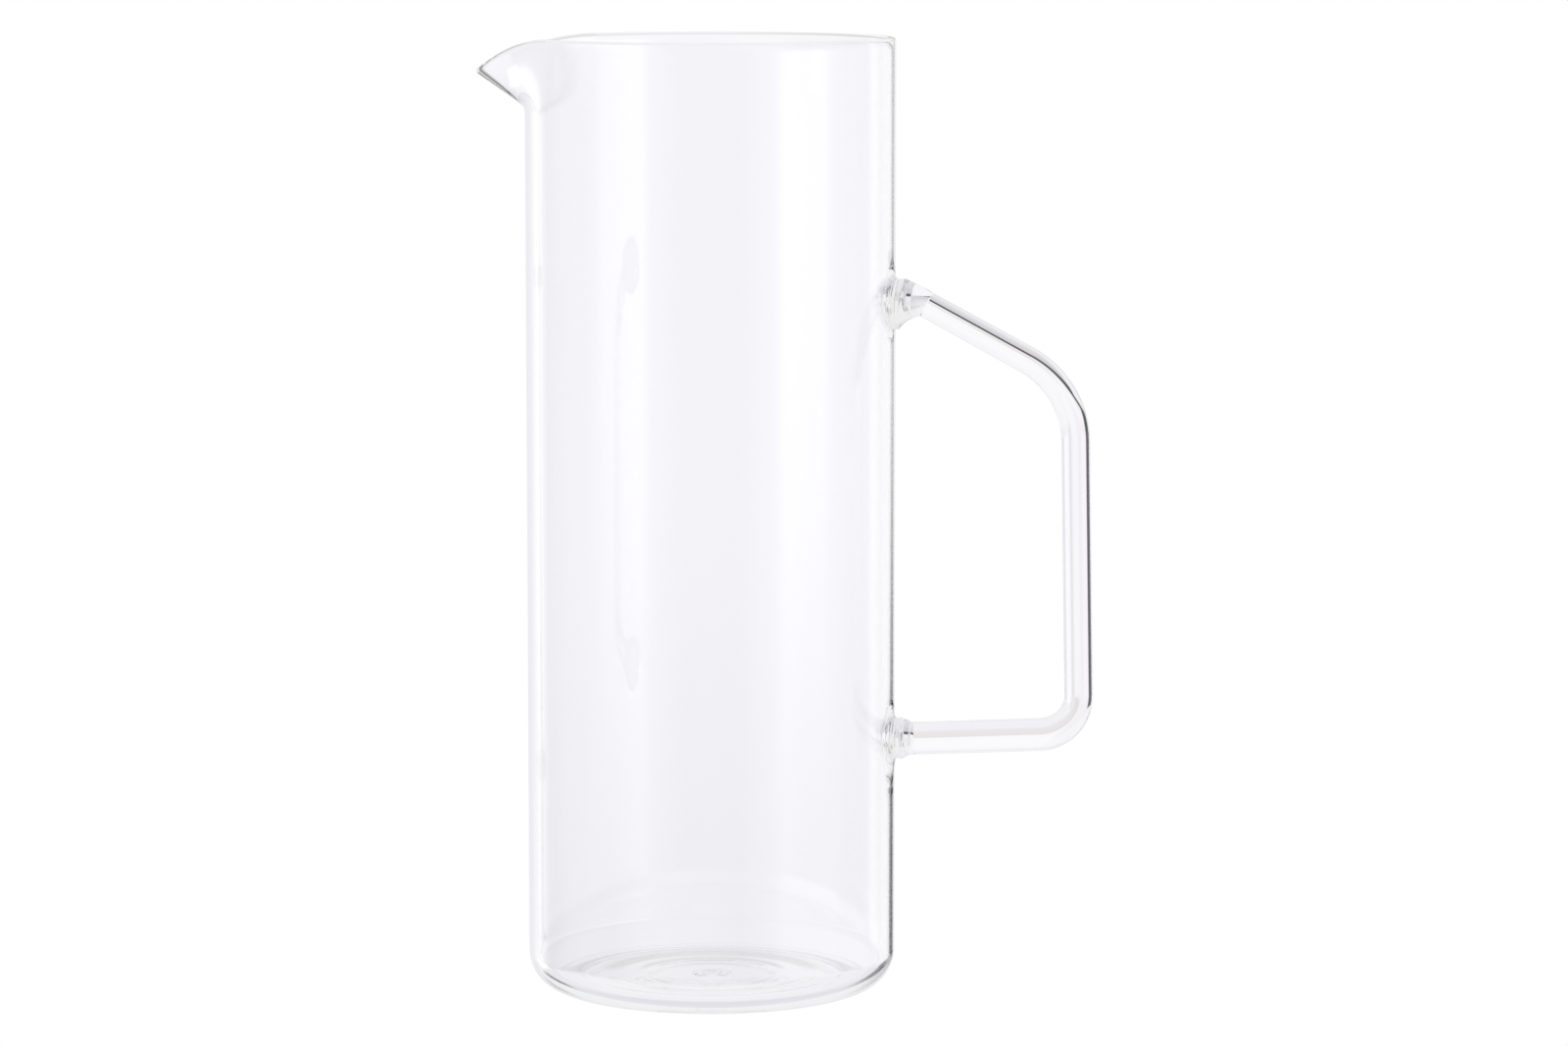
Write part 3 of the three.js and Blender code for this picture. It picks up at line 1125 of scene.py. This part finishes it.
class PITCHER_OT_add_wall(bpy.types.Operator):
    """Add the straight wall of the body"""

    bl_idname = "pitcher.add_wall"
    bl_label = "Add Wall"

    def execute(self, context):
        mesh = wall_mesh(context.scene.pitcher_sizes, clear_glass())
        finish_piece(mesh, "wall_glass", "vessel_wall")
        return {"FINISHED"}


class PITCHER_OT_add_base(bpy.types.Operator):
    """Add the base and the melt mark on its floor"""

    bl_idname = "pitcher.add_base"
    bl_label = "Add Base"

    def execute(self, context):
        sizes = context.scene.pitcher_sizes
        mesh = base_mesh(sizes, still_glass())
        finish_piece(mesh, "base_glass", "base")
        mesh = pip_mesh(sizes, thick_glass())
        finish_piece(mesh, "pip_glass", "base_pip")
        return {"FINISHED"}


class PITCHER_OT_add_rim(bpy.types.Operator):
    """Add the fire-polished rim"""

    bl_idname = "pitcher.add_rim"
    bl_label = "Add Rim"

    def execute(self, context):
        mesh = rim_mesh(context.scene.pitcher_sizes, clear_glass())
        finish_piece(mesh, "rim_glass", "rim_bead")
        return {"FINISHED"}


class PITCHER_OT_add_spout(bpy.types.Operator):
    """Add the drawn pouring spout"""

    bl_idname = "pitcher.add_spout"
    bl_label = "Add Spout"

    def execute(self, context):
        mesh = spout_mesh(context.scene.pitcher_sizes, thick_glass())
        finish_piece(mesh, "spout_glass", "pouring_spout")
        return {"FINISHED"}


class PITCHER_OT_add_handle(bpy.types.Operator):
    """Add the bent rod of the handle and its two welds"""

    bl_idname = "pitcher.add_handle"
    bl_label = "Add Handle"

    def execute(self, context):
        sizes = context.scene.pitcher_sizes
        mesh = rod_mesh(sizes, clear_glass())
        finish_piece(mesh, "rod_glass", "handle_rod")
        upper, lower = handle_welds(sizes)
        mesh = weld_mesh(sizes, upper, "upper_weld_glass", thick_glass())
        finish_piece(mesh, "upper_weld_glass", "upper_handle_weld")
        mesh = weld_mesh(sizes, lower, "lower_weld_glass", thick_glass())
        finish_piece(mesh, "lower_weld_glass", "lower_handle_weld")
        return {"FINISHED"}


class PITCHER_OT_add_stage(bpy.types.Operator):
    """Add the floor, the studio light and the camera"""

    bl_idname = "pitcher.add_stage"
    bl_label = "Add Stage"

    def execute(self, context):
        add_floor(context.scene)
        add_studio_light(context.scene)
        add_camera(context.scene)
        return {"FINISHED"}


# Stage

# Half the width of the floor, and how far it lies below the base
FLOOR_HALF = 30.0
FLOOR_DROP = 0.0004

# Camera: place, downward tilt and turn in degrees, focal length and sensor width in millimetres, range
CAMERA_PLACE = (0.25266, -1.3959, 0.29053)
CAMERA_TILT = 6.82
CAMERA_TURN = 9.5
CAMERA_LENS = 126.93
CAMERA_SENSOR = 36.0
CAMERA_RANGE = 100.0

# Most bounces of light, and most clear joints that it passes
BOUNCES = 24
CLEAR_BOUNCES = 64

# Light that passed more surfaces came through both walls, and light with more reflections is mirrored
WALL_SURFACES = 3.5
NO_REFLECTIONS = 0.5

BLACK = (0.0, 0.0, 0.0, 1.0)
WHITE = (1.0, 1.0, 1.0, 1.0)

# Angles below are in degrees. A bearing is counted from +Y towards -X, an elevation from level.

# What the glass mirrors of the studio at its own level: bearing, colour
MIRRORED = (
    (-180, (0.49, 0.49, 0.59)),
    (-160, (0.33, 0.33, 0.47)),
    (-152, (0.25, 0.25, 0.39)),
    (-142, (0.43, 0.43, 0.62)),
    (-132, (0.65, 0.65, 0.88)),
    (-124, (1.08, 1.08, 1.19)),
    (-112, (1.15, 1.15, 1.22)),
    (-96, (1.15, 1.15, 1.22)),
    (-86, (1.20, 1.20, 1.34)),
    (-76, (1.08, 1.08, 1.16)),
    (-60, (1.10, 1.10, 1.15)),
    (-50, (1.02, 1.02, 1.04)),
    (-34, (1.08, 1.08, 1.08)),
    (-16, (0.98, 0.98, 0.98)),
    (-4, (0.88, 0.88, 0.89)),
    (2, (0.85, 0.85, 0.89)),
    (30, (0.85, 0.85, 0.89)),
    (40, (0.92, 0.92, 0.93)),
    (48, (1.15, 1.15, 1.15)),
    (55, (1.20, 1.20, 1.19)),
    (60, (0.65, 0.65, 0.68)),
    (70, (0.30, 0.30, 0.36)),
    (100, (0.22, 0.22, 0.30)),
    (124, (0.11, 0.11, 0.16)),
    (146, (0.57, 0.57, 0.61)),
    (160, (0.65, 0.65, 0.67)),
    (180, (0.49, 0.49, 0.59)),
)

# Window on the handle's side: light, first and last bearing with soft edge, rise over its sill
WINDOW = (2.00, 2.00, 2.00, 1.0)
WINDOW_SIDES = (-125.0, -91.0, 12.0)
WINDOW_SILL = (-12.5, -3.5)

# What the glass mirrors of the paper below it, and the elevations over which the panels begin
BELOW = (0.74, 0.74, 0.79, 1.0)
PANEL_FOOT = (-17.0, -13.2)

# Boards low on the spout's side: first and last bearing with soft edge, elevations with soft edge, colour
LOW_BOARDS = (
    ((98.0, 144.0, 6.0), (-48.0, -14.0, 3.0), (1.00, 1.00, 1.01, 1.0)),
    ((41.0, 60.0, 5.0), (-21.0, -12.0, 3.0), (1.25, 1.25, 1.25, 1.0)),
    ((27.0, 39.0, 4.0), (-35.0, -24.0, 6.0), BLACK),
)

# Dark strip ahead: bearing, half its width and soft edge
STRIP_BEARING = -9.7
STRIP_HALF = 1.7
STRIP_EDGE = 0.4

# What is added to half the strip's width, with the elevations where that begins and is in full
STRIP_WIDENING = (
    (3.2, (-5.0, -11.0)),
    (5.0, (-12.0, -19.0)),
)

# Cards that stand across the strip: what they add to half its width, elevations and soft edge
CARD_WIDTH = 5.0
STRIP_CARDS = ((-4.37, -4.16), (-9.47, -9.17))
CARD_EDGE = 0.06

# How far the strip moves over at its foot and where, and where it ends below
STRIP_SHIFT = -10.0
STRIP_FOOT = (-12.0, -19.0)
STRIP_END = (-42.0, -26.0)

# What the glass mirrors of the studio above its own level: elevation, colour, and where that begins
OVERHEAD = (
    (0, (0.88, 0.88, 0.90)),
    (3, (0.58, 0.56, 0.52)),
    (8, (0.50, 0.48, 0.44)),
    (10.5, (0.88, 0.88, 0.89)),
    (20, (0.93, 0.93, 0.94)),
    (90, (0.95, 0.95, 0.96)),
)
OVERHEAD_FOOT = (-1.0, 3.0)

# What an upright rod shows of the studio: bearing, colour, and the elevations with soft edge
BESIDE_ROD = (
    (-180, (0.96, 0.96, 0.97)),
    (-60, (0.96, 0.96, 0.97)),
    (-46, (0.88, 0.88, 0.89)),
    (-40, (0.88, 0.88, 0.89)),
    (-33, (1.09, 1.09, 1.09)),
    (-17, (1.09, 1.09, 1.09)),
    (-13, (0.98, 0.98, 0.98)),
    (-8.5, (0.84, 0.84, 0.84)),
    (-4.5, (0.96, 0.96, 0.97)),
    (0, (1.00, 1.00, 1.00)),
    (26, (1.00, 1.00, 1.00)),
    (33, (0.95, 0.95, 0.95)),
    (36, (1.07, 1.07, 1.07)),
    (38, (0.95, 0.95, 0.95)),
    (41, (0.04, 0.04, 0.04)),
    (84, (0.02, 0.02, 0.02)),
    (86, (0.95, 0.95, 0.95)),
    (94, (0.95, 0.95, 0.95)),
    (97, (0.03, 0.03, 0.03)),
    (126, (0.03, 0.03, 0.03)),
    (132, (0.96, 0.96, 0.97)),
    (180, (0.96, 0.96, 0.97)),
)
BESIDE_LEVELS = (-17.0, -3.0, 2.0)

# What a level rod shows from below to above: elevation, colour, and the bearings with soft edge
ABOVE_LEVEL_ROD = (
    (-90, (0.90, 0.89, 0.94)),
    (-33, (0.90, 0.89, 0.94)),
    (-28, (0.90, 0.90, 0.92)),
    (-25, (0.85, 0.835, 0.84)),
    (-20, (0.82, 0.80, 0.81)),
    (-12, (0.82, 0.795, 0.785)),
    (-9.6, (0.78, 0.76, 0.76)),
    (-9.0, (0.98, 0.98, 0.985)),
    (16, (0.98, 0.98, 0.99)),
    (27, (0.96, 0.96, 0.98)),
    (36, (0.90, 0.90, 0.91)),
    (44, (0.67, 0.67, 0.68)),
    (52, (1.00, 1.00, 1.00)),
    (90, (1.00, 1.00, 1.00)),
)
LEVEL_ROD_SIDES = (-3.0, 22.0, 6.0)

# What a rod that slopes down shows: elevation, colour, and the bearings with soft edge
ABOVE_SLOPING_ROD = (
    (-90, (0.95, 0.95, 0.95)),
    (-45, (0.90, 0.90, 0.90)),
    (-38, (0.79, 0.79, 0.79)),
    (-34, (0.74, 0.74, 0.75)),
    (-28, (0.69, 0.675, 0.70)),
    (-22.5, (0.65, 0.63, 0.655)),
    (-21, (0.50, 0.49, 0.50)),
    (-20.3, (0.05, 0.05, 0.05)),
    (-16.6, (0.05, 0.05, 0.05)),
    (-15.8, (0.80, 0.79, 0.80)),
    (-13, (0.99, 0.975, 1.00)),
    (-8, (0.93, 0.91, 0.94)),
    (-2, (0.91, 0.90, 0.92)),
    (1, (0.945, 0.945, 0.96)),
    (22, (0.96, 0.96, 0.98)),
    (30, (0.92, 0.92, 0.94)),
    (40, (0.86, 0.86, 0.88)),
    (52, (0.98, 0.98, 1.00)),
    (90, (1.00, 1.00, 1.00)),
)
SLOPING_ROD_SIDES = (12.2, 60.0, 2.5)

# Past these bearings only the part above these elevations shows, both with a soft change
SLOPING_ROD_NEAR = (37.0, 31.0)
SLOPING_ROD_FOOT = (-20.0, -17.5)

# Paper to the sides of the rods and behind single sheets: further down, level, and where it changes
STEEP_PAPER = (0.900, 0.895, 0.910, 1.0)
PLAIN_PAPER = (0.955, 0.950, 0.965, 1.0)
PAPER_FOOT = (-24.0, -12.0)

# Paper seen through both walls: further down, level, and where it changes
LOW_WALL_PAPER = (0.925, 0.917, 0.937, 1.0)
WALL_PAPER = (0.997, 0.989, 1.012, 1.0)
WALL_PAPER_FOOT = (-13.0, -6.0)

# What light shows that was caught in the glass for long
TRAPPED_LIGHT = (0.90, 0.90, 0.90, 1.0)


def add_floor(scene):
    """Pale floor that only the camera sees, so it doesn't hide the studio from the glass."""
    mesh = bpy.data.meshes.new("floor")
    signs = ((-1, -1), (1, -1), (1, 1), (-1, 1))
    corners = [(FLOOR_HALF * x, FLOOR_HALF * y, -FLOOR_DROP) for x, y in signs]
    mesh.from_pydata(corners, [], [(0, 1, 2, 3)])
    paper = (*scene.pitcher_colours.paper, 1.0)
    mesh.materials.append(bare_material("pale_floor", "ShaderNodeEmission", {"Color": paper}))
    floor = bpy.data.objects.new("floor", mesh)
    scene.collection.objects.link(floor)
    floor.visible_glossy = False
    floor.visible_transmission = False
    floor.visible_diffuse = False


def angle_ramp(tree, angle, stops):
    """A colour over an angle in degrees."""
    low = stops[0][0]
    high = stops[-1][0]
    share = math_node(tree, "MULTIPLY_ADD", angle, 1 / (high - low), -low / (high - low))
    ramp = add_node(tree, "ShaderNodeValToRGB", {"Fac": share})
    elements = ramp.color_ramp.elements
    elements.remove(elements[1])
    for number, (stop, shade) in enumerate(stops):
        position = (stop - low) / (high - low)
        element = elements[0] if number == 0 else elements.new(position)
        element.position = position
        element.color = (*shade, 1.0)
    return ramp.outputs["Color"]


def dark_strip(tree, bearing, climb):
    """Share of the dark strip: wider lower down and at its cards, and moved over at its foot."""
    half_width = STRIP_HALF
    for gain, (start, full) in STRIP_WIDENING:
        wider = rise_node(tree, climb, start, full)
        half_width = math_node(tree, "MULTIPLY_ADD", wider, gain, half_width)
    for low, high in STRIP_CARDS:
        card = band_node(tree, climb, low, high, CARD_EDGE)
        half_width = math_node(tree, "MULTIPLY_ADD", card, CARD_WIDTH, half_width)
    foot = rise_node(tree, climb, *STRIP_FOOT)
    middle = math_node(tree, "MULTIPLY_ADD", foot, STRIP_SHIFT, STRIP_BEARING)
    distance = math_node(tree, "ABSOLUTE", math_node(tree, "SUBTRACT", bearing, middle))
    beyond = math_node(tree, "SUBTRACT", distance, half_width)
    return math_node(
        tree, "MULTIPLY",
        rise_node(tree, beyond, STRIP_EDGE, -STRIP_EDGE), rise_node(tree, climb, *STRIP_END))


def mirror_image(tree, bearing, climb):
    """The studio as the glass mirrors it: panels, a window, low boards, a dark strip and a ceiling."""
    seen = angle_ramp(tree, bearing, MIRRORED)
    window = math_node(
        tree, "MULTIPLY", band_node(tree, bearing, *WINDOW_SIDES), rise_node(tree, climb, *WINDOW_SILL))
    seen = mix_node(tree, window, seen, WINDOW)
    seen = mix_node(tree, rise_node(tree, climb, *PANEL_FOOT), BELOW, seen)
    for sides, levels, shade in LOW_BOARDS:
        board = math_node(
            tree, "MULTIPLY", band_node(tree, bearing, *sides), band_node(tree, climb, *levels))
        seen = mix_node(tree, board, seen, shade)
    seen = mix_node(tree, dark_strip(tree, bearing, climb), seen, BLACK)
    overhead = angle_ramp(tree, climb, OVERHEAD)
    return mix_node(tree, rise_node(tree, climb, *OVERHEAD_FOOT), seen, overhead)


def rod_image(tree, bearing, climb):
    """The studio as solid rods, welds and single sheets show it."""
    plain = mix_node(tree, rise_node(tree, climb, *PAPER_FOOT), STEEP_PAPER, PLAIN_PAPER)
    level = angle_ramp(tree, climb, ABOVE_LEVEL_ROD)
    seen = mix_node(tree, band_node(tree, bearing, *LEVEL_ROD_SIDES), plain, level)
    full = math_node(
        tree, "MAXIMUM",
        rise_node(tree, bearing, *SLOPING_ROD_NEAR), rise_node(tree, climb, *SLOPING_ROD_FOOT))
    aside = math_node(tree, "MULTIPLY", full, band_node(tree, bearing, *SLOPING_ROD_SIDES))
    seen = mix_node(tree, aside, seen, angle_ramp(tree, climb, ABOVE_SLOPING_ROD))
    beside = angle_ramp(tree, bearing, BESIDE_ROD)
    beside = mix_node(tree, band_node(tree, climb, *BESIDE_LEVELS), WHITE, beside)
    return mix_node(tree, 1.0, seen, beside, "MULTIPLY")


def add_studio_light(scene):
    """Soft light from all round: white where one looks through the wall, panels in its mirror images."""
    world = bpy.data.worlds.new("studio")
    scene.world = world
    world.use_nodes = True
    tree = world.node_tree
    place = add_node(tree, "ShaderNodeTexCoord")
    parts = add_node(tree, "ShaderNodeSeparateXYZ", {"Vector": place.outputs["Generated"]})
    left = math_node(tree, "MULTIPLY", parts.outputs["X"], -1.0)
    bearing = math_node(tree, "DEGREES", math_node(tree, "ARCTAN2", left, parts.outputs["Y"]))
    climb = math_node(tree, "DEGREES", math_node(tree, "ARCSINE", parts.outputs["Z"]))
    wall_image = mix_node(tree, rise_node(tree, climb, *WALL_PAPER_FOOT), LOW_WALL_PAPER, WALL_PAPER)
    path = add_node(tree, "ShaderNodeLightPath")
    through_walls = math_node(tree, "GREATER_THAN", path.outputs["Transmission Depth"], WALL_SURFACES)
    seen = mix_node(tree, through_walls, rod_image(tree, bearing, climb), wall_image)
    reflected = math_node(tree, "GREATER_THAN", path.outputs["Glossy Depth"], NO_REFLECTIONS)
    seen = mix_node(tree, reflected, seen, mirror_image(tree, bearing, climb))
    trapped = math_node(tree, "GREATER_THAN", path.outputs["Ray Depth"], TRAPPED_BOUNCES)
    seen = mix_node(tree, trapped, seen, TRAPPED_LIGHT)
    paper = (*scene.pitcher_colours.paper, 1.0)
    seen = mix_node(tree, path.outputs["Is Camera Ray"], seen, paper)
    feed(tree, tree.nodes["Background"], {"Color": seen})
    world.cycles.sampling_method = "NONE"
    scene.view_settings.view_transform = "Standard"
    scene.cycles.max_bounces = BOUNCES
    scene.cycles.transmission_bounces = BOUNCES
    scene.cycles.glossy_bounces = BOUNCES
    scene.cycles.transparent_max_bounces = CLEAR_BOUNCES


def add_camera(scene):
    """Camera at the photograph's place: a little above the rim, turned to the handle's side."""
    lens = bpy.data.cameras.new("camera")
    lens.sensor_width = CAMERA_SENSOR
    lens.lens = CAMERA_LENS
    lens.clip_end = CAMERA_RANGE
    camera = bpy.data.objects.new("camera", lens)
    scene.collection.objects.link(camera)
    camera.location = CAMERA_PLACE
    camera.rotation_euler = (radians(90 - CAMERA_TILT), 0.0, radians(CAMERA_TURN))
    scene.camera = camera


class PITCHER_PT_panel(bpy.types.Panel):
    """Lists the pitcher's sizes, colours and pieces"""

    bl_label = "Glass Pitcher"
    bl_idname = "PITCHER_PT_panel"
    bl_space_type = "VIEW_3D"
    bl_region_type = "UI"
    bl_category = "Pitcher"

    def draw(self, context):
        layout = self.layout
        for group in (context.scene.pitcher_sizes, context.scene.pitcher_colours):
            column = layout.column(align=True)
            for name in group.__annotations__:
                column.prop(group, name)
        for operator in OPERATORS:
            layout.operator(operator.bl_idname)


OPERATORS = (
    PITCHER_OT_add_wall,
    PITCHER_OT_add_base,
    PITCHER_OT_add_rim,
    PITCHER_OT_add_spout,
    PITCHER_OT_add_handle,
    PITCHER_OT_add_stage,
)
CLASSES = (PitcherSizes, PitcherColours, *OPERATORS, PITCHER_PT_panel)


def register():
    """Makes the classes and the scene's settings known."""
    for entry in CLASSES:
        bpy.utils.register_class(entry)
    bpy.types.Scene.pitcher_sizes = PointerProperty(type=PitcherSizes)
    bpy.types.Scene.pitcher_colours = PointerProperty(type=PitcherColours)


def unregister():
    """Takes away what register made known."""
    del bpy.types.Scene.pitcher_colours
    del bpy.types.Scene.pitcher_sizes
    for entry in reversed(CLASSES):
        bpy.utils.unregister_class(entry)


def main():
    """Builds the pitcher and its stage."""
    register()
    bpy.ops.pitcher.add_wall()
    bpy.ops.pitcher.add_base()
    bpy.ops.pitcher.add_rim()
    bpy.ops.pitcher.add_spout()
    bpy.ops.pitcher.add_handle()
    bpy.ops.pitcher.add_stage()


if __name__ == "__main__":
    main()
